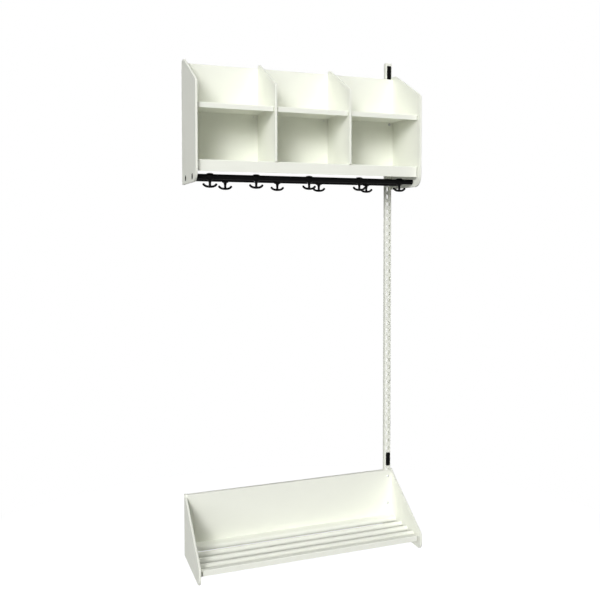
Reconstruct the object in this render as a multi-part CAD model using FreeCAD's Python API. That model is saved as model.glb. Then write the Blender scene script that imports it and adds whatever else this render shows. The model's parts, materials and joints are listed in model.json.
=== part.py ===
import FreeCAD, Part
import math
import os

# Wall-hung cloakroom bay: hat shelf, hook tubes, slotted upright and shoe rack.
# X runs along the wall, +Y points to the wall, +Z is up.
# The origin is the middle wall-screw hole of the upright, on the face the screw head seats on.
# Heights ending in _h are measured up from the foot of the upright.

# Upright
upright_length = 2000.0
upright_width = 28.0
upright_depth = 20.0
upright_wall = 2.0
upright_bend = 1.0
slot_pitch = 32.0
slot_first = 24.0
slot_height = 17.0
slot_width = 5.0
slot_spacing = 12.0
slot_end_margin = 15.0
wall_hole_radius = 3.25
wall_hole_pitch = 480.0

# Boards
bay_width = 900.0
board_thickness = 8.0
board_edge = 1.2
upright_gap = 3.5
bay_count = 3

# Hat shelf gables
hat_depth = 280.0
hat_height = 478.0
hat_shoulder = 117.0
hat_top_flat = 46.0
hat_rear_top_radius = 14.0
hat_slope_top_radius = 20.0
hat_slope_front_radius = 14.0
hat_toe_radius = 48.0
heel_radius = 3.0
divider_setback = 10.0
divider_rear_radius = 8.0

# Folded sheet
sheet_thickness = 1.2
sheet_bend = 1.5
corner_relief = 2.0
shelf_setback = 20.0
deck_rise = 80.0
deck_lip = 42.0
deck_flange = 20.0
shelf_above_deck = 205.0
shelf_lip = 19.0
shelf_side_flange = 15.0
panel_below_gable = 10.3
panel_rear_fold = 15.0
panel_flange = 15.0
panel_notch_clearance = 1.0

# Hook tubes
tube_radius = 10.0
tube_wall = 1.5
tube_rise = 21.0
front_tube_setback = 70.0
rear_tube_from_wall = 75.0
tube_fit = 0.05
plug_head = 2.0
plug_head_radius = 11.5
plug_body = 12.0

# Hooks
hook_step = 87.5
hook_fit = 0.08
hook_ring_width = 24.0
hook_ring_edge_radius = 12.2
hook_ring_crown_radius = 14.0
hook_drop = 37.0
hook_arm_radius = 3.9
hook_arm_bow = 38.0
hook_arm_half_span = 23.5
hook_tip_radius = 4.3
hook_stem_radius = 4.6
hook_stem_root_radius = 7.5
hook_stem_foot_radius = 5.4

# Hangers and their bolts
hanger_plate = 2.5
hanger_end_margin = 14.0
lug_margin = 12.0
lug_thickness = 2.5
lug_play = 0.3
lug_hook = 6.0
lug_back = 3.5
lug_clear_top = 1.0
bolt_radius = 3.0
bolt_head_radius = 5.5
bolt_head_height = 3.0
bolt_head_round = 1.8
bolt_socket = 4.0
bolt_socket_depth = 1.8
socket_sides = 6
hat_bolt_above_deck = 12.0
rack_bolt_above_floor = 49.5
rack_bolt_below_top = 27.0

# Locking caps on the upright
lock_width = 17.2
lock_height = 56.0
lock_depth = 5.0
lock_wall = 1.4
lock_corner = 3.4
lock_edge = 1.1
lock_gap = 0.3
peg_play = 0.4
peg_height = 14.0
peg_reach = 3.0

# Shoe rack
rack_depth = 300.0
rack_height = 248.5
rack_front_height = 66.0
rack_top_flat = 6.0
rack_toe_radius = 25.0
rack_rear_top_radius = 3.0
rack_slope_top_radius = 5.0
rack_slope_front_radius = 14.0
floor_rise = 54.5
floor_strip = 46.3
floor_strip_return = 4.0
bar_radius = 11.0
bar_wall = 1.2
bar_count = 3
rear_bar_gap = 38.5
front_bar_gap = 27.5
bar_socket = 5.0
bar_fit = 0.05
rail_setback = 12.0
rail_width = 20.0
rail_lip = 21.5
rail_rear_flange = 30.0
rail_end_flange = 12.0
rail_lip_end = 9.5

# Screws
screw_radius = 1.9
screw_cover = 1.2
pan_head_radius = 3.6
pan_head_height = 2.3
low_head_radius = 3.6
low_head_height = 1.4
screw_fit = 0.05
shelf_screw_end = 18.0
shelf_screw_front_left = 50.0
shelf_screw_front_right = 66.0
deck_screw_front = 60.0
deck_screw_rear = 55.0
panel_screw_above_deck = 56.0
panel_screw_below_top = 51.0
panel_flange_screw = 7.0
rack_screw_above_floor = 35.5
rack_screw_below_top = 41.0

# Cutting tools run past the material by this much, and places closer than the tolerance are the same
cut_spare = 1.0
tolerance = 1e-6

# Heights that follow from the sizes above
slot_count = int((upright_length - slot_first - slot_end_margin) / slot_pitch) + 1
upper_lock_slot = slot_count - 2
upper_lock_h = slot_first + slot_pitch * (upper_lock_slot + 0.5)
panel_top_h = upper_lock_h - lock_height / 2 - lock_gap
hat_top_h = panel_top_h + panel_below_gable
hat_corner_h = hat_top_h - hat_shoulder
hat_bottom_h = hat_top_h - hat_height
deck_h = hat_bottom_h + deck_rise
shelf_h = deck_h + shelf_above_deck
tube_h = hat_bottom_h + tube_rise
lower_lock_low = rack_height + lock_gap + (lock_height - slot_pitch) / 2
lower_lock_slot = math.ceil((lower_lock_low - slot_first) / slot_pitch)
hat_lug_low = math.ceil((deck_h + lug_margin - slot_first) / slot_pitch)
hat_lug_high = math.floor((panel_top_h - lug_margin - slot_first) / slot_pitch)
rack_lug_low = math.ceil((floor_rise + lug_margin - slot_first) / slot_pitch)
rack_lug_high = math.floor((rack_height - lug_margin - slot_first) / slot_pitch)
wall_hole_pairs = int((upright_length / 2 - slot_end_margin) / wall_hole_pitch)

# Places across and along the wall
wall_y = upright_depth
right_in = upright_width / 2 + upright_gap
right_out = right_in + board_thickness
left_out = right_out - bay_width
left_in = left_out + board_thickness
panel_rear_y = -hanger_plate
panel_front_y = panel_rear_y - sheet_thickness
shelf_face_y = panel_front_y - sheet_thickness
fold_rear_y = panel_rear_y + panel_rear_fold
hat_front_y = wall_y - hat_depth
shelf_front_y = hat_front_y + shelf_setback
divider_front_y = hat_front_y + divider_setback
rack_front_y = wall_y - rack_depth
rail_front_y = rack_front_y + rail_setback
strip_front_y = panel_front_y - floor_strip
front_tube_y = hat_front_y + front_tube_setback
rear_tube_y = wall_y - rear_tube_from_wall
bay_pitch = (bay_width - board_thickness) / bay_count
fold_radius = sheet_bend + sheet_thickness
screw_length = board_thickness + sheet_thickness - screw_cover


def up(height):
    return height - upright_length / 2


def slot_z(index):
    return up(slot_first + slot_pitch * index)


def bay_centre(index):
    return left_out + board_thickness / 2 + bay_pitch * (index + 0.5)


def in_yz(x):
    return lambda u, v: FreeCAD.Vector(x, u, v)


def in_xz(y):
    return lambda u, v: FreeCAD.Vector(u, y, v)


def in_xy(z):
    return lambda u, v: FreeCAD.Vector(u, v, z)


def block(low, high):
    size = [b - a for a, b in zip(low, high)]
    return Part.makeBox(size[0], size[1], size[2], FreeCAD.Vector(*low))


def rod(start, direction, radius, length):
    return Part.makeCylinder(radius, length, FreeCAD.Vector(*start), FreeCAD.Vector(*direction))


# A closed outline of (u, v, radius) corners, each rounded by a tangent arc
def rounded_face(corners, place):
    starts = []
    middles = []
    ends = []
    for i, (u, v, radius) in enumerate(corners):
        corner = FreeCAD.Vector(u, v, 0)
        before = FreeCAD.Vector(corners[i - 1][0], corners[i - 1][1], 0) - corner
        after_corner = corners[(i + 1) % len(corners)]
        after = FreeCAD.Vector(after_corner[0], after_corner[1], 0) - corner
        before.normalize()
        after.normalize()
        half = before.getAngle(after) / 2
        bisector = before + after
        if radius > 0:
            bisector.normalize()
            reach = radius / math.tan(half)
            starts.append(corner + before * reach)
            middles.append(corner + bisector * (radius / math.sin(half) - radius))
            ends.append(corner + after * reach)
        else:
            starts.append(corner)
            middles.append(None)
            ends.append(corner)
    edges = []
    for i, middle in enumerate(middles):
        a = place(starts[i].x, starts[i].y)
        b = place(ends[i].x, ends[i].y)
        if middle is not None:
            edges.append(Part.Arc(a, place(middle.x, middle.y), b).toShape())
        following = starts[(i + 1) % len(starts)]
        c = place(following.x, following.y)
        if (c - b).Length > tolerance:
            edges.append(Part.LineSegment(b, c).toShape())
    return Part.Face(Part.Wire(edges))


def prism(corners, place, reach):
    return rounded_face(corners, place).extrude(FreeCAD.Vector(*reach))


# The outline of a folded sheet: the given line is one skin, the other lies a thickness to its left.
# There is one inside bend radius for each corner of the line.
def folded_outline(line, thickness, bends):
    points = [FreeCAD.Vector(u, v, 0) for u, v in line]
    runs = [(b - a).normalize() for a, b in zip(points, points[1:])]
    lefts = [FreeCAD.Vector(-d.y, d.x, 0) for d in runs]
    near = [(points[0].x, points[0].y, 0)]
    first = points[0] + lefts[0] * thickness
    far = [(first.x, first.y, 0)]
    for i in range(1, len(points) - 1):
        side = (lefts[i - 1] + lefts[i]) * (thickness / (1 + lefts[i - 1].dot(lefts[i])))
        other = points[i] + side
        turns_left = runs[i - 1].cross(runs[i]).z > 0
        bend = bends[i - 1]
        near_radius = bend + thickness if turns_left else bend
        far_radius = bend if turns_left else bend + thickness
        near.append((points[i].x, points[i].y, near_radius))
        far.append((other.x, other.y, far_radius))
    last = points[-1] + lefts[-1] * thickness
    near.append((points[-1].x, points[-1].y, 0))
    far.append((last.x, last.y, 0))
    return near + far[::-1]


# A board cut to an outline in the YZ plane, with the edges of both faces eased
def eased_board(outline, x):
    board = prism(outline, in_yz(x), (board_thickness, 0, 0))
    foot = min(v for u, v, radius in outline)
    sharp_foot = outline[0][2] == 0
    rims = []
    for edge in board.Edges:
        box = edge.BoundBox
        on_foot = box.ZMax < foot + tolerance
        if box.XLength < tolerance and not (sharp_foot and on_foot):
            rims.append(edge)
    return board.makeFillet(board_edge, rims)


# A sheet folded down on four sides, open below, with relieved corners
def folded_tray(x_low, x_high, y_front, y_rear, top, front_lip, rear_lip, end_lip):
    deepest = max(front_lip, rear_lip, end_lip)
    outer = block((x_low, y_front, top - deepest), (x_high, y_rear, top))
    outer_top = [e for e in outer.Edges if e.BoundBox.ZMin > top - tolerance]
    outer = outer.makeFillet(fold_radius, outer_top)
    inset = sheet_thickness
    inner_low = (x_low + inset, y_front + inset, top - deepest)
    inner_high = (x_high - inset, y_rear - inset, top - inset)
    inner = block(inner_low, inner_high)
    inner_top = [e for e in inner.Edges if e.BoundBox.ZMin > top - inset - tolerance]
    inner = inner.makeFillet(sheet_bend, inner_top)
    tray = outer.cut(inner)
    below = top - deepest - cut_spare
    lips = (
        (x_low, x_high, y_front, y_front + fold_radius, front_lip),
        (x_low, x_high, y_rear - fold_radius, y_rear, rear_lip),
        (x_low, x_low + fold_radius, y_front, y_rear, end_lip),
        (x_high - fold_radius, x_high, y_front, y_rear, end_lip),
    )
    trims = []
    for x_a, x_b, y_a, y_b, lip in lips:
        if lip < deepest:
            trims.append(block((x_a, y_a, below), (x_b, y_b, top - lip)))
    relief = fold_radius + corner_relief
    for x_a in (x_low, x_high - relief):
        for y_a in (y_front, y_rear - relief):
            trims.append(block((x_a, y_a, below), (x_a + relief, y_a + relief, top - fold_radius)))
    return tray.cut(trims)


# A screw with its head seated at a point and its shank running along a direction
def screw(seat, direction, head_radius, head_height, length):
    rim = head_height / 2
    dome = head_height - rim
    sphere = (head_radius ** 2 + dome ** 2) / (2 * dome)
    half_cap = math.asin(head_radius / sphere) / 2
    shoulder = FreeCAD.Vector(head_radius, 0, rim)
    crown = FreeCAD.Vector(0, 0, head_height)
    swell_z = head_height - sphere * (1 - math.cos(half_cap))
    swell = FreeCAD.Vector(sphere * math.sin(half_cap), 0, swell_z)
    tip = FreeCAD.Vector(0, 0, -length)
    tip_edge = FreeCAD.Vector(screw_radius, 0, -length)
    neck = FreeCAD.Vector(screw_radius, 0, 0)
    seat_edge = FreeCAD.Vector(head_radius, 0, 0)
    edges = [
        Part.LineSegment(tip, tip_edge).toShape(),
        Part.LineSegment(tip_edge, neck).toShape(),
        Part.LineSegment(neck, seat_edge).toShape(),
        Part.LineSegment(seat_edge, shoulder).toShape(),
        Part.Arc(shoulder, swell, crown).toShape(),
        Part.LineSegment(crown, tip).toShape(),
    ]
    turned = Part.Face(Part.Wire(edges)).revolve(FreeCAD.Vector(), FreeCAD.Vector(0, 0, 1), 360)
    outward = FreeCAD.Vector(*direction) * -1
    turned.Placement = FreeCAD.Placement(
        FreeCAD.Vector(*seat), FreeCAD.Rotation(FreeCAD.Vector(0, 0, 1), outward))
    return turned


def screw_hole(seat, direction):
    return rod(seat, direction, screw_radius + screw_fit, screw_length + screw_fit)


# A button-head bolt with a hexagon socket, clamping a stack of the given grip
def bolt(seat_y, height, grip):
    head = rod((0, seat_y, up(height)), (0, -1, 0), bolt_head_radius, bolt_head_height)
    rim = [e for e in head.Edges if abs(e.BoundBox.YMax - (seat_y - bolt_head_height)) < tolerance]
    head = head.makeFillet(bolt_head_round, rim)
    shank = rod((0, seat_y, up(height)), (0, 1, 0), bolt_radius, grip)
    across = bolt_socket / math.sqrt(3)
    corners = []
    for k in range(socket_sides):
        turn = 2 * math.pi * k / socket_sides
        corners.append((across * math.cos(turn), up(height) + across * math.sin(turn), 0))
    socket_y = seat_y - bolt_head_height
    socket = prism(corners, in_xz(socket_y), (0, bolt_socket_depth, 0))
    return head.fuse(shank).cut(socket)


nodes = {}

# Upright: a channel open to the wall, with two columns of slots and a line of wall-screw holes
half_width = upright_width / 2
channel = [(-half_width, wall_y), (-half_width, 0), (half_width, 0), (half_width, wall_y)]
section = folded_outline(channel, upright_wall, (upright_bend, upright_bend))
upright = prism(section, in_xy(up(0)), (0, 0, upright_length))
openings = []
for k in range(slot_count):
    for side in (-1, 1):
        x_mid = side * slot_spacing / 2
        low = (x_mid - slot_width / 2, -cut_spare, slot_z(k) - slot_height / 2)
        high = (x_mid + slot_width / 2, upright_wall + cut_spare, slot_z(k) + slot_height / 2)
        openings.append(block(low, high))
for k in range(-wall_hole_pairs, wall_hole_pairs + 1):
    start = (0, -cut_spare, wall_hole_pitch * k)
    openings.append(rod(start, (0, 1, 0), wall_hole_radius, upright_wall + 2 * cut_spare))
nodes["upright"] = upright.cut(openings)


# Hanger: a plate behind a back panel, with hooked lugs that drop into the upright's slots
def hanger(lug_slots, bolt_heights):
    marks = [slot_z(k) for k in lug_slots] + [up(h) for h in bolt_heights]
    low = min(marks) - hanger_end_margin
    high = max(marks) + hanger_end_margin
    half = slot_spacing / 2 + lug_thickness / 2
    solid = block((-half, -hanger_plate, low), (half, 0, high))
    lugs = []
    for k in lug_slots:
        rest = slot_z(k) - slot_height / 2
        behind = upright_wall + lug_play
        top = rest + slot_height - lug_hook - lug_clear_top
        outline = [
            (-hanger_plate / 2, rest, 0),
            (behind, rest, 0),
            (behind, rest - lug_hook, 0),
            (behind + lug_back, rest - lug_hook, lug_back / 2),
            (behind + lug_back, top, lug_back / 2),
            (-hanger_plate / 2, top, 0),
        ]
        for side in (-1, 1):
            x_low = side * slot_spacing / 2 - lug_thickness / 2
            lugs.append(prism(outline, in_yz(x_low), (lug_thickness, 0, 0)))
    solid = solid.fuse(lugs)
    holes = []
    for h in bolt_heights:
        start = (0, -hanger_plate - cut_spare, up(h))
        holes.append(rod(start, (0, 1, 0), bolt_radius + screw_fit, hanger_plate + 2 * cut_spare))
    return solid.cut(holes).removeSplitter()


hat_bolt_low_h = deck_h + hat_bolt_above_deck
hat_bolt_high_h = shelf_h - shelf_lip / 2
rack_bolt_low_h = floor_rise + rack_bolt_above_floor
rack_bolt_high_h = rack_height - rack_bolt_below_top
hat_bolts = (hat_bolt_low_h, hat_bolt_high_h)
rack_bolts = (rack_bolt_low_h, rack_bolt_high_h)
nodes["hat_hanger"] = hanger((hat_lug_low, hat_lug_high), hat_bolts)
nodes["rack_hanger"] = hanger((rack_lug_low, rack_lug_high), rack_bolts)
grip = sheet_thickness + hanger_plate
bolt_solids = [
    bolt(panel_front_y, hat_bolt_low_h, grip),
    bolt(shelf_face_y, hat_bolt_high_h, grip + sheet_thickness),
    bolt(panel_front_y, rack_bolt_low_h, grip),
    bolt(panel_front_y, rack_bolt_high_h, grip),
]
nodes["hanger_bolts"] = Part.makeCompound(bolt_solids)


# Locking cap: a hollow cap over two pairs of slots, with a peg in each column
def locking_cap(slot_index):
    middle = (slot_z(slot_index) + slot_z(slot_index + 1)) / 2
    half_w = lock_width / 2
    half_h = lock_height / 2
    outline = [
        (-half_w, middle - half_h, lock_corner),
        (half_w, middle - half_h, lock_corner),
        (half_w, middle + half_h, lock_corner),
        (-half_w, middle + half_h, lock_corner),
    ]
    cap = prism(outline, in_xz(-lock_depth), (0, lock_depth, 0))
    rim = [e for e in cap.Edges if e.BoundBox.YMax < -lock_depth + tolerance]
    cap = cap.makeFillet(lock_edge, rim)
    inner = lock_corner - lock_wall
    hollow = [
        (-half_w + lock_wall, middle - half_h + lock_wall, inner),
        (half_w - lock_wall, middle - half_h + lock_wall, inner),
        (half_w - lock_wall, middle + half_h - lock_wall, inner),
        (-half_w + lock_wall, middle + half_h - lock_wall, inner),
    ]
    cap = cap.cut(prism(hollow, in_xz(-lock_depth + lock_wall), (0, lock_depth, 0)))
    pegs = []
    for side, index in ((-1, slot_index), (1, slot_index + 1)):
        x_mid = side * slot_spacing / 2
        peg_half = slot_width / 2 - peg_play
        low = (x_mid - peg_half, -lock_depth + lock_wall / 2, slot_z(index) - peg_height / 2)
        high = (x_mid + peg_half, upright_wall + peg_reach, slot_z(index) + peg_height / 2)
        pegs.append(block(low, high))
    return cap.fuse(pegs)


nodes["upper_lock"] = locking_cap(upper_lock_slot)
nodes["lower_lock"] = locking_cap(lower_lock_slot)

# Screw seats, as (seat, direction) pairs, gathered by what they run into
deck_top = up(deck_h)
shelf_top = up(shelf_h)
deck_screw_z = deck_top - deck_flange / 2
shelf_screw_z = shelf_top - shelf_side_flange / 2
shelf_rear_z = shelf_top - shelf_lip / 2
board_keys = ("left", "right", "divider_0", "divider_1", "rack_left", "rack_right")
pan_seats = {key: [] for key in board_keys + ("panel",)}
low_seats = {key: [] for key in board_keys}
shelf_ends = []
for k in range(bay_count):
    x_low = left_in + bay_pitch * k
    x_high = x_low + bay_pitch - board_thickness
    shelf_ends.append((x_low, x_high))
board_of_left_end = ("left", "divider_0", "divider_1")
board_of_right_end = ("divider_0", "divider_1", "right")
for k, (x_low, x_high) in enumerate(shelf_ends):
    left_seat = (x_low + sheet_thickness, shelf_front_y + shelf_screw_front_left, shelf_screw_z)
    right_seat = (x_high - sheet_thickness, shelf_front_y + shelf_screw_front_right, shelf_screw_z)
    pan_seats[board_of_left_end[k]].append((left_seat, (-1, 0, 0)))
    pan_seats[board_of_right_end[k]].append((right_seat, (1, 0, 0)))
    pan_seats["panel"].append(((x_low + shelf_screw_end, shelf_face_y, shelf_rear_z), (0, 1, 0)))
    if k < bay_count - 1:
        pan_seats["panel"].append(((x_high - shelf_screw_end, shelf_face_y, shelf_rear_z), (0, 1, 0)))
    pan_seats["panel"].append(((bay_centre(k), shelf_face_y, deck_screw_z), (0, 1, 0)))
deck_screw_ys = (shelf_front_y + deck_screw_front, panel_front_y - deck_screw_rear)
for y in deck_screw_ys:
    pan_seats["left"].append(((left_in + sheet_thickness, y, deck_screw_z), (-1, 0, 0)))
    pan_seats["right"].append(((right_in - sheet_thickness, y, deck_screw_z), (1, 0, 0)))
    for k in range(bay_count - 1):
        x_mid = left_in + bay_pitch * (k + 1) - board_thickness / 2
        pan_seats["divider_%d" % k].append(((x_mid, y, deck_top - sheet_thickness), (0, 0, 1)))
for height in (deck_h + panel_screw_above_deck, panel_top_h - panel_screw_below_top):
    left_seat = (left_in + sheet_thickness, panel_flange_screw, up(height))
    right_seat = (right_in - sheet_thickness, panel_flange_screw, up(height))
    low_seats["left"].append((left_seat, (-1, 0, 0)))
    low_seats["right"].append((right_seat, (1, 0, 0)))
    for k in range(bay_count - 1):
        x_mid = left_in + bay_pitch * (k + 1) - board_thickness / 2
        low_seats["divider_%d" % k].append(((x_mid, panel_rear_y, up(height)), (0, -1, 0)))
for height in (floor_rise + rack_screw_above_floor, rack_height - rack_screw_below_top):
    left_seat = (left_in + sheet_thickness, panel_flange_screw, up(height))
    right_seat = (right_in - sheet_thickness, panel_flange_screw, up(height))
    low_seats["rack_left"].append((left_seat, (-1, 0, 0)))
    low_seats["rack_right"].append((right_seat, (1, 0, 0)))
rail_screw_y = rail_front_y + rail_width / 2
rail_screw_z = up(floor_rise) - rail_end_flange / 2 - sheet_thickness
pan_seats["rack_left"].append(((left_in + sheet_thickness, rail_screw_y, rail_screw_z), (-1, 0, 0)))
pan_seats["rack_right"].append(((right_in - sheet_thickness, rail_screw_y, rail_screw_z), (1, 0, 0)))
pan_all = [s for seats in pan_seats.values() for s in seats]
low_all = [s for seats in low_seats.values() for s in seats]
nodes["pan_head_screws"] = Part.makeCompound(
    [screw(seat, way, pan_head_radius, pan_head_height, screw_length) for seat, way in pan_all])
nodes["low_head_screws"] = Part.makeCompound(
    [screw(seat, way, low_head_radius, low_head_height, screw_length) for seat, way in low_all])


def holes_for(seats):
    return [screw_hole(seat, way) for seat, way in seats]


# Hat shelf gables: a board with a sloping front shoulder and a round toe
slope_top_y = wall_y - hat_top_flat
slope = hat_shoulder / (slope_top_y - hat_front_y)
gable_outline = [
    (wall_y, up(hat_bottom_h), heel_radius),
    (hat_front_y, up(hat_bottom_h), hat_toe_radius),
    (hat_front_y, up(hat_corner_h), hat_slope_front_radius),
    (slope_top_y, up(hat_top_h), hat_slope_top_radius),
    (wall_y, up(hat_top_h), hat_rear_top_radius),
]
tube_holes = []
for y in (front_tube_y, rear_tube_y):
    start = (left_out - cut_spare, y, up(tube_h))
    tube_holes.append(rod(start, (1, 0, 0), tube_radius + tube_fit, bay_width + 2 * cut_spare))
    for x, way in ((left_out, 1), (right_out, -1)):
        tube_holes.append(rod((x, y, up(tube_h)), (way, 0, 0), plug_head_radius + tube_fit, plug_head))
for name, x, key in (("hat_gable_left", left_out, "left"), ("hat_gable_right", right_in, "right")):
    gable = eased_board(gable_outline, x)
    nodes[name] = gable.cut(tube_holes + holes_for(pan_seats[key]) + holes_for(low_seats[key]))

# Dividers: the same shoulder, standing on the deck in front of the back panel
divider_corner_h = hat_corner_h + divider_setback * slope
divider_outline = [
    (panel_front_y, deck_top, 0),
    (divider_front_y, deck_top, 0),
    (divider_front_y, up(divider_corner_h), hat_slope_front_radius),
    (slope_top_y, up(hat_top_h), hat_slope_top_radius),
    (panel_front_y, up(hat_top_h), divider_rear_radius),
]
for k, name in enumerate(("divider_left", "divider_right")):
    x = left_in + bay_pitch * (k + 1) - board_thickness
    board = eased_board(divider_outline, x)
    key = "divider_%d" % k
    nodes[name] = board.cut(holes_for(pan_seats[key]) + holes_for(low_seats[key]))


# Holes through one or two sheets, started ahead of each screw's seat
def sheet_holes(seats, layers):
    depth = layers * sheet_thickness + 2 * cut_spare
    holes = []
    for seat, way in seats:
        start = [place - step * cut_spare for place, step in zip(seat, way)]
        holes.append(rod(start, way, screw_radius + screw_fit, depth))
    return holes


# Back panel: a sheet folded to the wall at its top and ends, notched round the upright
def back_panel(line, bends, flange_low, flange_high, bolt_heights):
    outline = folded_outline(line, sheet_thickness, bends)
    sheet = prism(outline, in_yz(left_in), (right_in - left_in, 0, 0))
    flanges = []
    for x_low in (left_in, right_in - sheet_thickness):
        low = (x_low, panel_front_y + sheet_thickness / 2, flange_low)
        high = (x_low + sheet_thickness, panel_rear_y + panel_flange, flange_high)
        flanges.append(block(low, high))
    notch_half = upright_width / 2 + panel_notch_clearance
    top = line[0][1]
    notch = block((-notch_half, panel_rear_y, top - fold_radius), (notch_half, wall_y, top + cut_spare))
    holes = []
    for h in bolt_heights:
        start = (0, panel_front_y - cut_spare, up(h))
        holes.append(rod(start, (0, 1, 0), bolt_radius + screw_fit, sheet_thickness + 2 * cut_spare))
    return sheet.fuse(flanges).cut([notch] + holes)


panel_low = deck_top - deck_flange
hat_line = [(fold_rear_y, up(panel_top_h)), (panel_front_y, up(panel_top_h)), (panel_front_y, panel_low)]
hat_panel = back_panel(hat_line, (sheet_bend,), panel_low, up(panel_top_h) - panel_rear_fold, hat_bolts)
edge_seats = [s for key in ("left", "right", "divider_0", "divider_1") for s in low_seats[key]]
nodes["hat_back_panel"] = hat_panel.cut(sheet_holes(pan_seats["panel"], 2) + sheet_holes(edge_seats, 1))

# Mid shelves: one folded sheet to each bay
all_pan = sheet_holes(pan_all, 1)
bolt_start = (0, shelf_face_y - cut_spare, up(hat_bolt_high_h))
bolt_hole = rod(bolt_start, (0, 1, 0), bolt_radius + screw_fit, sheet_thickness + 2 * cut_spare)
for (x_low, x_high), name in zip(shelf_ends, ("mid_shelf_left", "mid_shelf_centre", "mid_shelf_right")):
    shelf = folded_tray(
        x_low, x_high, shelf_front_y, panel_front_y, shelf_top, shelf_lip, shelf_lip, shelf_side_flange)
    nodes[name] = shelf.cut(all_pan + [bolt_hole])

# Deck: the long folded sheet under the bays, with a deep front lip
deck = folded_tray(
    left_in, right_in, shelf_front_y, panel_front_y, deck_top, deck_lip, deck_flange, deck_flange)
nodes["hat_deck"] = deck.cut(all_pan)

# Hook tubes, and the plugs that close their ends with heads sunk level with the gables
for name, y in (("hook_tube_front", front_tube_y), ("hook_tube_rear", rear_tube_y)):
    length = bay_width - 2 * plug_head
    start = (left_out + plug_head, y, up(tube_h))
    tube = rod(start, (1, 0, 0), tube_radius, length)
    nodes[name] = tube.cut(rod(start, (1, 0, 0), tube_radius - tube_wall, length))
plugs = []
for y in (front_tube_y, rear_tube_y):
    for x, way in ((left_out, 1), (right_out, -1)):
        head = rod((x, y, up(tube_h)), (way, 0, 0), plug_head_radius, plug_head)
        body_start = (x + way * plug_head, y, up(tube_h))
        body = rod(body_start, (way, 0, 0), tube_radius - tube_wall - tube_fit, plug_body)
        plugs.append(head.fuse(body))
nodes["tube_plugs"] = Part.makeCompound(plugs)


# Anchor hook: a barrel ring that slides on the tube, a waisted stem and two upswept arms
def anchor_hook():
    half = hook_ring_width / 2
    bore = tube_radius + hook_fit
    left_rim = FreeCAD.Vector(-half, 0, hook_ring_edge_radius)
    right_rim = FreeCAD.Vector(half, 0, hook_ring_edge_radius)
    ring_edges = [
        Part.LineSegment(FreeCAD.Vector(-half, 0, bore), left_rim).toShape(),
        Part.Arc(left_rim, FreeCAD.Vector(0, 0, hook_ring_crown_radius), right_rim).toShape(),
        Part.LineSegment(right_rim, FreeCAD.Vector(half, 0, bore)).toShape(),
        Part.LineSegment(FreeCAD.Vector(half, 0, bore), FreeCAD.Vector(-half, 0, bore)).toShape(),
    ]
    ring = Part.Face(Part.Wire(ring_edges)).revolve(FreeCAD.Vector(), FreeCAD.Vector(1, 0, 0), 360)
    root_z = -(bore + hook_ring_crown_radius) / 2
    foot_z = -hook_drop
    waist_z = (root_z + foot_z) / 2
    root = FreeCAD.Vector(hook_stem_root_radius, 0, root_z)
    waist = FreeCAD.Vector(hook_stem_radius, 0, waist_z)
    foot = FreeCAD.Vector(hook_stem_foot_radius, 0, foot_z)
    stem_edges = [
        Part.LineSegment(FreeCAD.Vector(0, 0, root_z), root).toShape(),
        Part.Arc(root, waist, foot).toShape(),
        Part.LineSegment(foot, FreeCAD.Vector(0, 0, foot_z)).toShape(),
        Part.LineSegment(FreeCAD.Vector(0, 0, foot_z), FreeCAD.Vector(0, 0, root_z)).toShape(),
    ]
    stem = Part.Face(Part.Wire(stem_edges)).revolve(FreeCAD.Vector(), FreeCAD.Vector(0, 0, 1), 360)
    bow_centre = FreeCAD.Vector(0, 0, foot_z + hook_arm_bow)
    half_turn = math.degrees(math.asin(hook_arm_half_span / hook_arm_bow))
    foot_circle = Part.Circle(FreeCAD.Vector(0, 0, foot_z), FreeCAD.Vector(1, 0, 0), hook_arm_radius)
    section = Part.Face(Part.Wire(foot_circle.toShape()))
    section.rotate(bow_centre, FreeCAD.Vector(0, 1, 0), -half_turn)
    arms = section.revolve(bow_centre, FreeCAD.Vector(0, 1, 0), 2 * half_turn)
    rise = hook_arm_bow - math.sqrt(hook_arm_bow ** 2 - hook_arm_half_span ** 2)
    tips = []
    for side in (-1, 1):
        tip = FreeCAD.Vector(side * hook_arm_half_span, 0, foot_z + rise)
        tips.append(Part.makeSphere(hook_tip_radius, tip))
    hook = ring.fuse([stem, arms] + tips)
    bore_start = (-hook_ring_width, 0, 0)
    return hook.cut(rod(bore_start, (1, 0, 0), bore, 2 * hook_ring_width)).removeSplitter()


front_hooks = [
    bay_centre(0) - hook_step,
    bay_centre(0) + hook_step,
    bay_centre(1),
    bay_centre(2) - hook_step,
    bay_centre(2) + hook_step,
]
rear_hooks = [bay_centre(0), bay_centre(1) - hook_step, bay_centre(1) + hook_step, bay_centre(2)]
pattern_hook = anchor_hook()
for row, y, places in (("front", front_tube_y, front_hooks), ("rear", rear_tube_y, rear_hooks)):
    for k, x in enumerate(places):
        hook = pattern_hook.copy()
        hook.translate(FreeCAD.Vector(x, y, up(tube_h)))
        nodes["hook_%s_%d" % (row, k + 1)] = hook

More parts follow.
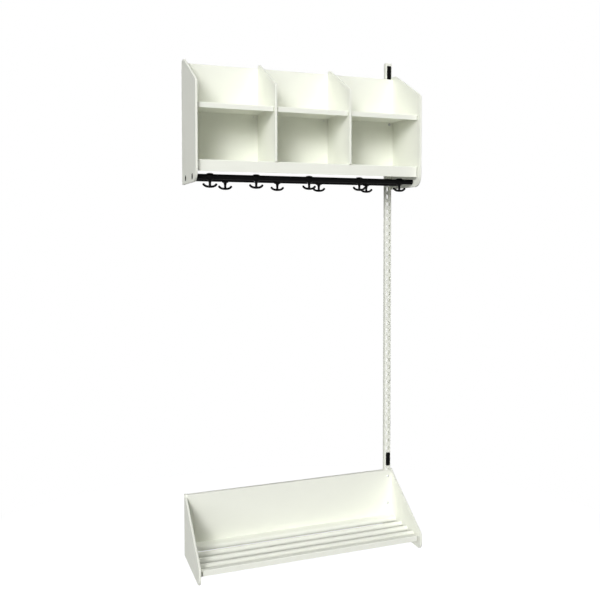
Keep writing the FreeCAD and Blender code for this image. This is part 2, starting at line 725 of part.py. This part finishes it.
# Shoe rack gables: a triangular board with blind sockets for the bars
rear_bar_y = strip_front_y - rear_bar_gap - bar_radius
front_bar_y = rail_front_y + rail_width + front_bar_gap + bar_radius
bar_pitch = (rear_bar_y - front_bar_y) / (bar_count - 1)
bar_ys = [rear_bar_y - bar_pitch * k for k in range(bar_count)]
bar_z = up(floor_rise) - bar_radius
rack_outline = [
    (wall_y, up(0), heel_radius),
    (rack_front_y, up(0), rack_toe_radius),
    (rack_front_y, up(rack_front_height), rack_slope_front_radius),
    (wall_y - rack_top_flat, up(rack_height), rack_slope_top_radius),
    (wall_y, up(rack_height), rack_rear_top_radius),
]
bar_left = left_in - bar_socket
bar_length = right_in - left_in + 2 * bar_socket
sockets = [rod((bar_left, y, bar_z), (1, 0, 0), bar_radius + bar_fit, bar_length) for y in bar_ys]
for side, x in (("left", left_out), ("right", right_in)):
    key = "rack_" + side
    gable = eased_board(rack_outline, x)
    nodes["rack_gable_" + side] = gable.cut(sockets + holes_for(pan_seats[key]) + holes_for(low_seats[key]))

# Shoe rack back panel: the sheet runs down, forward as a floor strip and round a nose as thick as a bar
nose_foot = up(floor_rise) - 2 * bar_radius
rack_line = [
    (fold_rear_y, up(rack_height)),
    (panel_front_y, up(rack_height)),
    (panel_front_y, up(floor_rise)),
    (strip_front_y, up(floor_rise)),
    (strip_front_y, nose_foot),
    (strip_front_y + bar_radius + floor_strip_return, nose_foot),
]
nose_bend = bar_radius - sheet_thickness
rack_bends = (sheet_bend, sheet_bend, nose_bend, nose_bend)
flange_foot = up(floor_rise) + sheet_bend
flange_top = up(rack_height) - panel_rear_fold
rack_panel = back_panel(rack_line, rack_bends, flange_foot, flange_top, rack_bolts)
nodes["rack_back_panel"] = rack_panel.cut(sheet_holes(low_seats["rack_left"] + low_seats["rack_right"], 1))

# Shoe bars: tubes whose ends sit in the gables' sockets
for y, name in zip(bar_ys, ("shoe_bar_rear", "shoe_bar_middle", "shoe_bar_front")):
    bar = rod((bar_left, y, bar_z), (1, 0, 0), bar_radius, bar_length)
    nodes[name] = bar.cut(rod((bar_left, y, bar_z), (1, 0, 0), bar_radius - bar_wall, bar_length))

# Front rail: a narrow folded sheet whose front lip stops short of the gables
rail_top = up(floor_rise)
rail_rear_y = rail_front_y + rail_width
rail = folded_tray(
    left_in, right_in, rail_front_y, rail_rear_y, rail_top, rail_lip, rail_rear_flange, rail_end_flange)
for x_low, x_high in ((left_in, left_in + rail_lip_end), (right_in - rail_lip_end, right_in)):
    low = (x_low, rail_front_y - cut_spare, rail_top - rail_lip - cut_spare)
    high = (x_high, rail_front_y + fold_radius, rail_top - fold_radius)
    rail = rail.cut(block(low, high))
nodes["rack_front_rail"] = rail.cut(sheet_holes(pan_seats["rack_left"] + pan_seats["rack_right"], 1))

os.makedirs("parts", exist_ok=True)
for name, shape in nodes.items():
    shape.exportStep("parts/%s.step" % name)
    print(name, len(shape.Solids), shape.isValid(), round(shape.Volume))
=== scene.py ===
import json
import math

import bpy
from mathutils import Matrix, Vector


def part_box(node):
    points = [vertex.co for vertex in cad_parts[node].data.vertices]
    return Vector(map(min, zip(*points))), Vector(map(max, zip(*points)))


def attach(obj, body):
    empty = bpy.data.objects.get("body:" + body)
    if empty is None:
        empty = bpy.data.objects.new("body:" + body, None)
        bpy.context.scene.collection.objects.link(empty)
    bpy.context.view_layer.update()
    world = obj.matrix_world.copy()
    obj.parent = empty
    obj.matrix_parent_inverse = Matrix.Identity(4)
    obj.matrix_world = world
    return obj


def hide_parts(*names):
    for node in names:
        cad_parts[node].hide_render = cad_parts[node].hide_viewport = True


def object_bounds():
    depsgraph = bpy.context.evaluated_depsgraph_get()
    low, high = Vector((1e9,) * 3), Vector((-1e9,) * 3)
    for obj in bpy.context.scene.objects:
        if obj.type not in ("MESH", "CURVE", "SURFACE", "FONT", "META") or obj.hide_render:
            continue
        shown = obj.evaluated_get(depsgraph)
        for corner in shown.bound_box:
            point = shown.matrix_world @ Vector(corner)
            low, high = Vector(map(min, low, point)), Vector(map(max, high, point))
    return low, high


# Wall-hung cloakroom bay: hat shelf, hook tubes, slotted upright and shoe rack.
# Lengths are in metres. +X runs along the wall to the right, +Y to the wall and +Z up.
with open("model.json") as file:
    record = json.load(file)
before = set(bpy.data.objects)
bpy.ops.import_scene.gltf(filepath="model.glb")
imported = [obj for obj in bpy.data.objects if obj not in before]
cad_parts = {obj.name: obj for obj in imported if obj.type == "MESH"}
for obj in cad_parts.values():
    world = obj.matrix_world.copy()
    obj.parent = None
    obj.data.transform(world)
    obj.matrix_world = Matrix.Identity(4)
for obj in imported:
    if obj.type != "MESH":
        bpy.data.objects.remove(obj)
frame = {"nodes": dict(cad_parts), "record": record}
cad_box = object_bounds()
nodes = frame["nodes"]
bay_middle = (cad_box[0].x + cad_box[1].x) / 2

# Camera of the photograph
camera_place = (-1.40078, -3.04344, 0.29529)
camera_heading = math.radians(-22.05)
camera_tilt = math.radians(87.95)
camera_roll = math.radians(0.09)
camera_lens = 46.664
camera_sensor = 36.0
camera_shift = (-0.0868, -0.0726)

# Floor: its shadow shows near the bay, and it fades to white further out
floor_drop = 0.30
floor_radius = 7.0
floor_sides = 96
floor_grey = 0.48
floor_lift = 0.90
floor_shade_near = 0.7
floor_shade_far = 2.0

# Lamps: name, bearing from the front and height in degrees, distance, size, power
lamp_aim = (-0.42, -0.05, 0.0)
lamps = (
    ("wide_key", -32.0, 18.0, 24.0, 12.0, 2720.0),
    ("key", -32.0, 18.0, 24.0, 5.5, 1310.0),
    ("left_fill", -60.0, 5.0, 24.0, 8.0, 850.0),
    ("top_fill", 0.0, 75.0, 24.0, 8.0, 1600.0),
    ("front_fill", -5.0, 38.0, 2.6, 1.0, 4.2),
    ("right_fill", 115.0, 2.0, 24.0, 3.0, 1800.0),
    ("back_fill", 175.0, 2.0, 24.0, 3.0, 2000.0),
)

# Anchor hook, about its tube's axis: the ring
hook_sides = 48
hook_half_width = 0.0120
hook_bore = 0.0104
hook_rim = 0.0122
hook_crown = 0.0140
hook_crown_steps = 8

# The stem, as heights and radii
hook_stem_sides = 32
hook_stem = (
    (-0.0118, 0.0075), (-0.0145, 0.0066), (-0.0180, 0.0056), (-0.0230, 0.0047),
    (-0.0290, 0.0046), (-0.0340, 0.0050), (-0.0372, 0.0052), (-0.0394, 0.0033),
)

# The two arms: a flat bow below the stem, with a tighter turn up at each end
hook_drop = 0.0366
hook_arm_sides = 24
hook_arm_radius = 0.0043
hook_bow_radius = 0.0600
hook_bow_half_turn = math.radians(11)
hook_bow_steps = 12
hook_end_radius = 0.0200
hook_end_turn = math.radians(40.6)
hook_end_steps = 9
hook_tip_radius = 0.0046
hook_tip_segments = 28
hook_tip_rings = 16

# How the hook's blanks are grown together
hook_voxel = 0.00065
hook_smoothing = 7
hook_smoothing_share = 0.5
hook_soft_angle = 60

# Screws and bolts, with the seat at zero and the head towards +X. A head is given as heights and radii.
screw_sides = 28
screw_shank = 0.0019
screw_length = 0.0080
screw_point = 0.0006
pan_head = ((0.0, 0.0036), (0.0010, 0.0036), (0.0016, 0.0032), (0.0021, 0.0022), (0.0023, 0.0009))
low_head = ((0.0, 0.0036), (0.0005, 0.0036), (0.0010, 0.0029), (0.0013, 0.0018), (0.0014, 0.0008))
cross_width = 0.0009
cross_reach = 0.0019
cross_depth = 0.0011
cross_taper = 0.55
bolt_shank = 0.0030
bolt_length = 0.0036
bolt_head = ((0.0, 0.0055), (0.0011, 0.0055), (0.0018, 0.0050), (0.0026, 0.0040), (0.0030, 0.0030))
socket_radius = 0.0023
socket_depth = 0.0018
fastener_edge = 0.00012
fastener_edge_steps = 2
fastener_edge_angle = math.radians(32)
fastener_twist = math.radians(41)
head_past_shank = 1.2

# Tube plug, with its outer face at zero: places and radii from the inner end to the dished face
plug_sides = 48
plug_profile = (
    (-0.0140, 0.0076), (-0.0132, 0.0083), (-0.0020, 0.0084), (-0.0020, 0.01145), (-0.0005, 0.01145),
    (-0.0002, 0.0113), (0.0, 0.0109), (0.0, 0.0088), (-0.0003, 0.0080), (-0.0004, 0.0020),
)

# Points closer than this are one point, and turned pieces keep edges sharper than this angle
merge_reach = 0.000005
turned_soft_angle = 35

# A circle's turn that makes it face along X, Y or Z
circle_turn = ((0, math.pi / 2, 0), (math.pi / 2, 0, 0), (0, 0, 0))

# A face counts as facing a way when its normal has more than this share of it
facing_share = 0.5

# Finish patterns: scale, detail and roughness of the clouds, and the part of their range that is used
tone_cloud = (9.0, 4.0, 0.6)
gloss_cloud = (38.0, 3.0, 0.6)
grain_detail = 2.0
grain_roughness = 0.5
grain_strength = 0.5
cloud_low = 0.3
cloud_high = 0.7

# Sockets of a Mix node that mixes colours
mix_share = 0
mix_first = 6
mix_second = 7
mix_result = 2


# Modelling
def clear_selection():
    if bpy.context.mode != "OBJECT":
        bpy.ops.object.mode_set(mode="OBJECT")
    bpy.ops.object.select_all(action="DESELECT")


def pick(*pieces):
    clear_selection()
    for piece in pieces:
        piece.select_set(True)
    bpy.context.view_layer.objects.active = pieces[0]


def own_copy(pattern):
    """A copy of a piece, with a mesh of its own."""
    copy = pattern.copy()
    copy.data = pattern.data.copy()
    bpy.context.scene.collection.objects.link(copy)
    return copy


def set_in_place():
    """Puts a new blank's place and turn into its mesh."""
    bpy.ops.object.transform_apply(location=True, rotation=True, scale=True)
    return bpy.context.object


def open_all(piece):
    """Opens a piece for editing with all its points picked."""
    pick(piece)
    bpy.ops.object.mode_set(mode="EDIT")
    bpy.ops.mesh.select_mode(type="VERT")
    bpy.ops.mesh.select_all(action="SELECT")


def open_faces(piece, wanted):
    """Opens a piece for editing with those faces picked whose normal passes a test."""
    pick(piece)
    bpy.ops.object.mode_set(mode="EDIT")
    bpy.ops.mesh.select_mode(type="FACE")
    bpy.ops.mesh.select_all(action="DESELECT")
    bpy.ops.object.mode_set(mode="OBJECT")
    for face in piece.data.polygons:
        face.select = wanted(face.normal)
    bpy.ops.object.mode_set(mode="EDIT")


def settle(piece):
    """Merges what meets, closes what is open and turns all faces outwards."""
    open_all(piece)
    bpy.ops.mesh.remove_doubles(threshold=merge_reach)
    bpy.ops.mesh.fill_holes(sides=0)
    bpy.ops.mesh.select_all(action="SELECT")
    bpy.ops.mesh.normals_make_consistent(inside=False)
    bpy.ops.object.mode_set(mode="OBJECT")


def apply_modifier(piece, kind, **settings):
    pick(piece)
    modifier = piece.modifiers.new(kind.lower(), kind)
    for setting, value in settings.items():
        setattr(modifier, setting, value)
    bpy.ops.object.modifier_apply(modifier=modifier.name)


def cut_away(piece, tool):
    apply_modifier(piece, "BOOLEAN", operation="DIFFERENCE", object=tool, solver="EXACT")
    bpy.data.objects.remove(tool)


def smooth(piece, degrees):
    pick(piece)
    bpy.ops.object.shade_smooth_by_angle(angle=math.radians(degrees))


def along(axis, amount, rest=0.0):
    """Three numbers, with an amount on one axis and the rest on the others."""
    numbers = [rest, rest, rest]
    numbers[axis] = amount
    return numbers


def turned(name, axis, stations, sides):
    """Draws a circle out along an axis, from station to station of place and radius."""
    clear_selection()
    first_place, first_radius = stations[0]
    bpy.ops.mesh.primitive_circle_add(
        vertices=sides, radius=first_radius, fill_type="NOTHING",
        location=along(axis, first_place), rotation=circle_turn[axis])
    piece = set_in_place()
    piece.name = name
    open_all(piece)
    for (place, radius), (next_place, next_radius) in zip(stations, stations[1:]):
        step = along(axis, next_place - place)
        bpy.ops.mesh.extrude_region_move(TRANSFORM_OT_translate={"value": step})
        bpy.ops.transform.resize(
            value=along(axis, 1.0, next_radius / radius), center_override=along(axis, next_place))
    bpy.ops.object.mode_set(mode="OBJECT")
    settle(piece)
    return piece


# Anchor hook
def ring_blank():
    """The crowned barrel that runs on the tube, with its bore."""
    shares = [2.0 * k / hook_crown_steps - 1.0 for k in range(hook_crown_steps + 1)]
    stations = [(-hook_half_width, hook_bore)]
    for share in shares:
        stations.append((share * hook_half_width, hook_crown - (hook_crown - hook_rim) * share ** 2))
    for share in reversed(shares):
        stations.append((share * hook_half_width, hook_bore))
    return turned("hook_ring", 0, stations, hook_sides)


def arm_blanks():
    """The arms: a circle spun along one end, the bow and the other end, with a ball on each tip."""
    inset = hook_bow_radius - hook_end_radius
    bow_centre = (0.0, 0.0, hook_bow_radius - hook_drop)
    end_reach = inset * math.sin(hook_bow_half_turn)
    end_height = bow_centre[2] - inset * math.cos(hook_bow_half_turn)
    tip_turn = hook_bow_half_turn + hook_end_turn
    tip_reach = end_reach + hook_end_radius * math.sin(tip_turn)
    tip_height = end_height - hook_end_radius * math.cos(tip_turn)
    clear_selection()
    bpy.ops.mesh.primitive_circle_add(
        vertices=hook_arm_sides, radius=hook_arm_radius, fill_type="NOTHING",
        location=(-tip_reach, 0.0, tip_height), rotation=(0.0, math.pi / 2 + tip_turn, 0.0))
    arms = set_in_place()
    arms.name = "hook_arms"
    open_all(arms)
    for steps, turn, centre in (
            (hook_end_steps, hook_end_turn, (-end_reach, 0.0, end_height)),
            (hook_bow_steps, 2 * hook_bow_half_turn, bow_centre),
            (hook_end_steps, hook_end_turn, (end_reach, 0.0, end_height))):
        bpy.ops.mesh.spin(steps=steps, angle=turn, center=centre, axis=(0, 1, 0))
    bpy.ops.object.mode_set(mode="OBJECT")
    settle(arms)
    blanks = [arms]
    for side in (-1, 1):
        clear_selection()
        bpy.ops.mesh.primitive_uv_sphere_add(
            segments=hook_tip_segments, ring_count=hook_tip_rings, radius=hook_tip_radius,
            location=(side * tip_reach, 0.0, tip_height))
        blanks.append(set_in_place())
    return blanks


def anchor_hook():
    """One moulded hook, its ring, stem and arms grown together with soft fillets."""
    stem = turned("hook_stem", 2, hook_stem, hook_stem_sides)
    blanks = [ring_blank(), stem] + arm_blanks()
    pick(*blanks)
    bpy.ops.object.join()
    hook = bpy.context.object
    hook.name = "anchor_hook"
    apply_modifier(hook, "REMESH", mode="VOXEL", voxel_size=hook_voxel, use_smooth_shade=True)
    apply_modifier(hook, "SMOOTH", factor=hook_smoothing_share, iterations=hook_smoothing)
    smooth(hook, hook_soft_angle)
    return hook


# Screws and bolts
def cross_tool(top):
    """The tapered cross that a driver leaves in a screw head, its mouth at the given height."""
    clear_selection()
    bpy.ops.mesh.primitive_cube_add(size=cross_width, location=(top, 0.0, 0.0))
    tool = set_in_place()
    open_faces(tool, lambda normal: abs(normal.x) < facing_share)
    bpy.ops.mesh.extrude_faces_move(TRANSFORM_OT_shrink_fatten={"value": cross_reach - cross_width / 2})
    bpy.ops.object.mode_set(mode="OBJECT")
    open_faces(tool, lambda normal: normal.x < -facing_share)
    bpy.ops.transform.translate(value=(cross_width / 2 - cross_depth, 0.0, 0.0))
    bpy.ops.transform.resize(value=(1.0, cross_taper, cross_taper), center_override=(top, 0.0, 0.0))
    bpy.ops.object.mode_set(mode="OBJECT")
    settle(tool)
    return tool


def socket_tool(top):
    """The hexagon that a key fits in a bolt head, its mouth at the given height."""
    clear_selection()
    bpy.ops.mesh.primitive_cylinder_add(
        vertices=6, radius=socket_radius, depth=2 * socket_depth,
        location=(top, 0.0, 0.0), rotation=circle_turn[0])
    return set_in_place()


def headed(name, head, shank, length, tool):
    """A screw or bolt turned from its point to its crown, with a recess cut in the head."""
    point = [(-length, shank - screw_point), (-length + screw_point, shank), (0.0, shank)]
    piece = turned(name, 0, point + list(head), screw_sides)
    cut_away(piece, tool)
    apply_modifier(piece, "BEVEL", width=fastener_edge, segments=fastener_edge_steps,
                   limit_method="ANGLE", angle_limit=fastener_edge_angle)
    smooth(piece, turned_soft_angle)
    return piece


# Where the CAD nodes hold their screws, bolts and plugs
def points_box(points):
    low = Vector([min(point[i] for point in points) for i in range(3)])
    high = Vector([max(point[i] for point in points) for i in range(3)])
    return low, high, (low + high) / 2


def loose_parts(node):
    """The points of each separate solid of a CAD node, in order of place."""
    open_all(own_copy(nodes[node]))
    bpy.ops.mesh.remove_doubles(threshold=merge_reach)
    bpy.ops.mesh.separate(type="LOOSE")
    bpy.ops.object.mode_set(mode="OBJECT")
    parts = []
    for part in list(bpy.context.selected_objects):
        parts.append([point.co.copy() for point in part.data.vertices])
        bpy.data.objects.remove(part)
    parts.sort(key=lambda points: tuple(round(c, 4) for c in points_box(points)[2]))
    return parts


def fastener_seats(node, shank, head_height):
    """Where each screw's or bolt's head seats, and the way that its head faces."""
    seats = []
    for points in loose_parts(node):
        low, high, middle = points_box(points)
        size = high - low
        # The two sizes across a round piece are equal, and the third runs along it
        axis = min(range(3), key=lambda i: abs(size[i - 1] - size[i - 2]))
        head = [
            point[axis] for point in points
            if math.hypot(point[axis - 1] - middle[axis - 1], point[axis - 2] - middle[axis - 2])
            > shank * head_past_shank]
        sign = 1.0 if sum(head) / len(head) > middle[axis] else -1.0
        seat = middle.copy()
        seat[axis] = (high if sign > 0 else low)[axis] - sign * head_height
        seats.append((seat, Vector(along(axis, sign))))
    return seats


def plug_seats():
    """The middle of each plug's outer face, and the way that it faces."""
    seats = []
    for points in loose_parts("tube_plugs"):
        low, high, seat = points_box(points)
        sign = 1.0 if seat.x > bay_middle else -1.0
        seat.x = high.x if sign > 0 else low.x
        seats.append((seat, Vector(along(0, sign))))
    return seats


def set_copies(pattern, name, seats):
    """Puts a copy of a pattern at each seat, joined as one piece, and drops the pattern."""
    copies = []
    for k, (seat, facing) in enumerate(seats):
        copy = own_copy(pattern)
        turn = Vector((1.0, 0.0, 0.0)).rotation_difference(facing).to_matrix().to_4x4()
        twist = Matrix.Rotation(fastener_twist * k, 4, "X")
        copy.data.transform(Matrix.Translation(seat) @ turn @ twist)
        copies.append(copy)
    bpy.data.objects.remove(pattern)
    pick(*copies)
    bpy.ops.object.join()
    piece = bpy.context.object
    piece.name = name
    return piece


# Finishes
def cloud(tree, place, scale, detail, roughness):
    """A noise pattern on the piece's own place, in metres."""
    noise = tree.nodes.new("ShaderNodeTexNoise")
    noise.inputs["Scale"].default_value = scale
    noise.inputs["Detail"].default_value = detail
    noise.inputs["Roughness"].default_value = roughness
    tree.links.new(place.outputs["Object"], noise.inputs["Vector"])
    return noise.outputs["Fac"]


def between(tree, source, low, high, start, end):
    """Spreads a part of a pattern's range over a range of values."""
    spread = tree.nodes.new("ShaderNodeMapRange")
    spread.inputs["From Min"].default_value = low
    spread.inputs["From Max"].default_value = high
    spread.inputs["To Min"].default_value = start
    spread.inputs["To Max"].default_value = end
    tree.links.new(source, spread.inputs["Value"])
    return spread.outputs["Result"]


def two_tone(tree, share, first, second):
    mix = tree.nodes.new("ShaderNodeMix")
    mix.data_type = "RGBA"
    tree.links.new(share, mix.inputs[mix_share])
    mix.inputs[mix_first].default_value = first + (1.0,)
    mix.inputs[mix_second].default_value = second + (1.0,)
    return mix.outputs[mix_result]


def coat(name, pale, deep, gloss, grain, grain_height, specular, metal=0.0):
    """A finish with a clouded tone, an uneven gloss and a fine grain in its surface."""
    material = bpy.data.materials.new(name)
    material.use_nodes = True
    tree = material.node_tree
    shader = tree.nodes["Principled BSDF"]
    place = tree.nodes.new("ShaderNodeTexCoord")
    tone = between(tree, cloud(tree, place, *tone_cloud), cloud_low, cloud_high, 0.0, 1.0)
    tree.links.new(two_tone(tree, tone, pale, deep), shader.inputs["Base Color"])
    handling = between(tree, cloud(tree, place, *gloss_cloud), cloud_low, cloud_high, *gloss)
    tree.links.new(handling, shader.inputs["Roughness"])
    bump = tree.nodes.new("ShaderNodeBump")
    bump.inputs["Strength"].default_value = grain_strength
    bump.inputs["Distance"].default_value = grain_height
    peel = cloud(tree, place, grain, grain_detail, grain_roughness)
    tree.links.new(peel, bump.inputs["Height"])
    tree.links.new(bump.outputs["Normal"], shader.inputs["Normal"])
    shader.inputs["Specular IOR Level"].default_value = specular
    shader.inputs["Metallic"].default_value = metal
    return material


white_lacquer = coat(
    "white_lacquer", pale=(0.962, 0.976, 0.888), deep=(0.952, 0.967, 0.878),
    gloss=(0.46, 0.58), grain=420.0, grain_height=0.00002, specular=0.02)
white_powder = coat(
    "white_powder_coat", pale=(0.962, 0.976, 0.888), deep=(0.952, 0.967, 0.878),
    gloss=(0.44, 0.56), grain=900.0, grain_height=0.00003, specular=0.03)
black_powder = coat(
    "black_powder_coat", pale=(0.0080, 0.0080, 0.0083), deep=(0.0066, 0.0066, 0.0069),
    gloss=(0.42, 0.55), grain=1400.0, grain_height=0.00003, specular=0.03)
black_moulding = coat(
    "black_moulding", pale=(0.0046, 0.0046, 0.0048), deep=(0.0034, 0.0034, 0.0036),
    gloss=(0.36, 0.48), grain=2000.0, grain_height=0.00003, specular=0.05)
black_rubber = coat(
    "black_rubber", pale=(0.0060, 0.0060, 0.0062), deep=(0.0048, 0.0048, 0.0050),
    gloss=(0.70, 0.85), grain=1600.0, grain_height=0.00003, specular=0.0)
bright_zinc = coat(
    "bright_zinc", pale=(0.93, 0.94, 0.90), deep=(0.86, 0.87, 0.84),
    gloss=(0.22, 0.34), grain=700.0, grain_height=0.00002, specular=0.5, metal=1.0)
grey_zinc = coat(
    "grey_zinc", pale=(0.71, 0.72, 0.72), deep=(0.64, 0.65, 0.65),
    gloss=(0.30, 0.42), grain=700.0, grain_height=0.00002, specular=0.5, metal=1.0)
finish_of_slot = {
    "white_board": white_lacquer,
    "white_sheet": white_powder,
    "black_metal": black_powder,
    "black_plastic": black_moulding,
    "zinc_steel": bright_zinc,
}
for subpart in frame["record"]["subparts"]:
    for material_slot in nodes[subpart["node"]].material_slots:
        material_slot.material = finish_of_slot[subpart["material_slot"]]


def hand_over(piece, body, node, finish):
    """Gives a new piece its finish and its body, in place of a CAD node."""
    piece.data.materials.clear()
    piece.data.materials.append(finish)
    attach(piece, body)
    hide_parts(node)


# Each hook goes on its tube, in place of its node
hook_pattern = anchor_hook()
for node in sorted(nodes):
    if not node.startswith(("hook_front_", "hook_rear_")):
        continue
    low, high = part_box(node)
    tube_axis = Vector(((low.x + high.x) / 2, (low.y + high.y) / 2, high.z - hook_crown))
    hook = own_copy(hook_pattern)
    hook.name = "anchor_" + node
    hook.data.transform(Matrix.Translation(tube_axis))
    hand_over(hook, node, node, black_moulding)
bpy.data.objects.remove(hook_pattern)

# Screws and bolts, in place of their nodes
fasteners = (
    ("cross_pan_screws", "pan_head_screws", pan_head, screw_shank, screw_length, cross_tool, bright_zinc),
    ("cross_low_screws", "low_head_screws", low_head, screw_shank, screw_length, cross_tool, bright_zinc),
    ("button_bolts", "hanger_bolts", bolt_head, bolt_shank, bolt_length, socket_tool, grey_zinc),
)
for name, node, head, shank, length, recess, finish in fasteners:
    head_height = head[-1][0]
    pattern = headed(name + "_pattern", head, shank, length, recess(head_height))
    piece = set_copies(pattern, name, fastener_seats(node, shank, head_height))
    hand_over(piece, "frame", node, finish)

# Dished plugs in the tube ends
plug_pattern = turned("plug_pattern", 0, plug_profile, plug_sides)
smooth(plug_pattern, turned_soft_angle)
plugs = set_copies(plug_pattern, "dished_tube_plugs", plug_seats())
hand_over(plugs, "frame", "tube_plugs", black_rubber)


# Floor
def calculate(tree, operation, first, second):
    """A sum on two values, each a node's output or a plain number."""
    maths = tree.nodes.new("ShaderNodeMath")
    maths.operation = operation
    for value, socket in zip((first, second), maths.inputs):
        if isinstance(value, float):
            socket.default_value = value
        else:
            tree.links.new(value, socket)
    return maths.outputs[0]


def seen_rays(tree):
    """1 for what the camera, a gloss or a clear piece sees, and 0 for what only lights."""
    path = tree.nodes.new("ShaderNodeLightPath").outputs
    seen = calculate(tree, "MAXIMUM", path["Is Camera Ray"], path["Is Glossy Ray"])
    return calculate(tree, "MAXIMUM", seen, path["Is Transmission Ray"])


def pale_floor():
    """A floor that keeps the shadow close to the bay and fades to white away from it."""
    material = bpy.data.materials.new("pale_floor")
    material.use_nodes = True
    tree = material.node_tree
    tree.nodes.clear()
    seen = seen_rays(tree)
    matt = tree.nodes.new("ShaderNodeBsdfDiffuse")
    matt.inputs["Color"].default_value = (floor_grey, floor_grey, floor_grey, 1.0)
    glow = tree.nodes.new("ShaderNodeEmission")
    tree.links.new(calculate(tree, "MULTIPLY", seen, floor_lift), glow.inputs["Strength"])
    near = tree.nodes.new("ShaderNodeAddShader")
    tree.links.new(matt.outputs[0], near.inputs[0])
    tree.links.new(glow.outputs[0], near.inputs[1])
    place = tree.nodes.new("ShaderNodeTexCoord")
    reach = tree.nodes.new("ShaderNodeVectorMath")
    reach.operation = "LENGTH"
    tree.links.new(place.outputs["Object"], reach.inputs[0])
    fade = between(tree, reach.outputs["Value"], floor_shade_near, floor_shade_far, 0.0, 1.0)
    white = tree.nodes.new("ShaderNodeEmission")
    mix = tree.nodes.new("ShaderNodeMixShader")
    tree.links.new(calculate(tree, "MULTIPLY", fade, seen), mix.inputs[0])
    tree.links.new(near.outputs[0], mix.inputs[1])
    tree.links.new(white.outputs[0], mix.inputs[2])
    out = tree.nodes.new("ShaderNodeOutputMaterial")
    tree.links.new(mix.outputs[0], out.inputs["Surface"])
    return material


clear_selection()
bpy.ops.mesh.primitive_circle_add(
    vertices=floor_sides, radius=floor_radius, fill_type="NGON",
    location=(bay_middle, 0.0, cad_box[0].z - floor_drop))
floor = bpy.context.object
floor.name = "floor"
floor.data.materials.append(pale_floor())

# White room, which is seen but gives no light
room = bpy.data.worlds.new("white_room")
bpy.context.scene.world = room
room.use_nodes = True
room_white = room.node_tree.nodes["Background"]
room_white.inputs["Color"].default_value = (1.0, 1.0, 1.0, 1.0)
room.node_tree.links.new(seen_rays(room.node_tree), room_white.inputs["Strength"])


def soft_lamp(name, bearing, height, distance, size, power):
    """A square lamp that faces the bay and that the camera doesn't see."""
    lamp_data = bpy.data.lights.new(name, "AREA")
    lamp_data.shape = "SQUARE"
    lamp_data.size = size
    lamp_data.energy = power
    lamp = bpy.data.objects.new(name, lamp_data)
    lamp.visible_camera = False
    bpy.context.scene.collection.objects.link(lamp)
    turn = math.radians(bearing)
    rise = math.radians(height)
    way = Vector((math.sin(turn) * math.cos(rise), -math.cos(turn) * math.cos(rise), math.sin(rise)))
    lamp.location = Vector(lamp_aim) + way * distance
    lamp.rotation_euler = way.to_track_quat("Z", "Y").to_euler()


for lamp_settings in lamps:
    soft_lamp(*lamp_settings)

# Camera
camera_data = bpy.data.cameras.new("photo_camera")
camera_data.lens = camera_lens
camera_data.sensor_width = camera_sensor
camera_data.shift_x, camera_data.shift_y = camera_shift
camera = bpy.data.objects.new("photo_camera", camera_data)
bpy.context.scene.collection.objects.link(camera)
camera.matrix_world = (
    Matrix.Translation(camera_place)
    @ Matrix.Rotation(camera_heading, 4, "Z")
    @ Matrix.Rotation(camera_tilt, 4, "X")
    @ Matrix.Rotation(camera_roll, 4, "Z"))
bpy.context.scene.camera = camera
bpy.context.scene.view_settings.view_transform = "Standard"
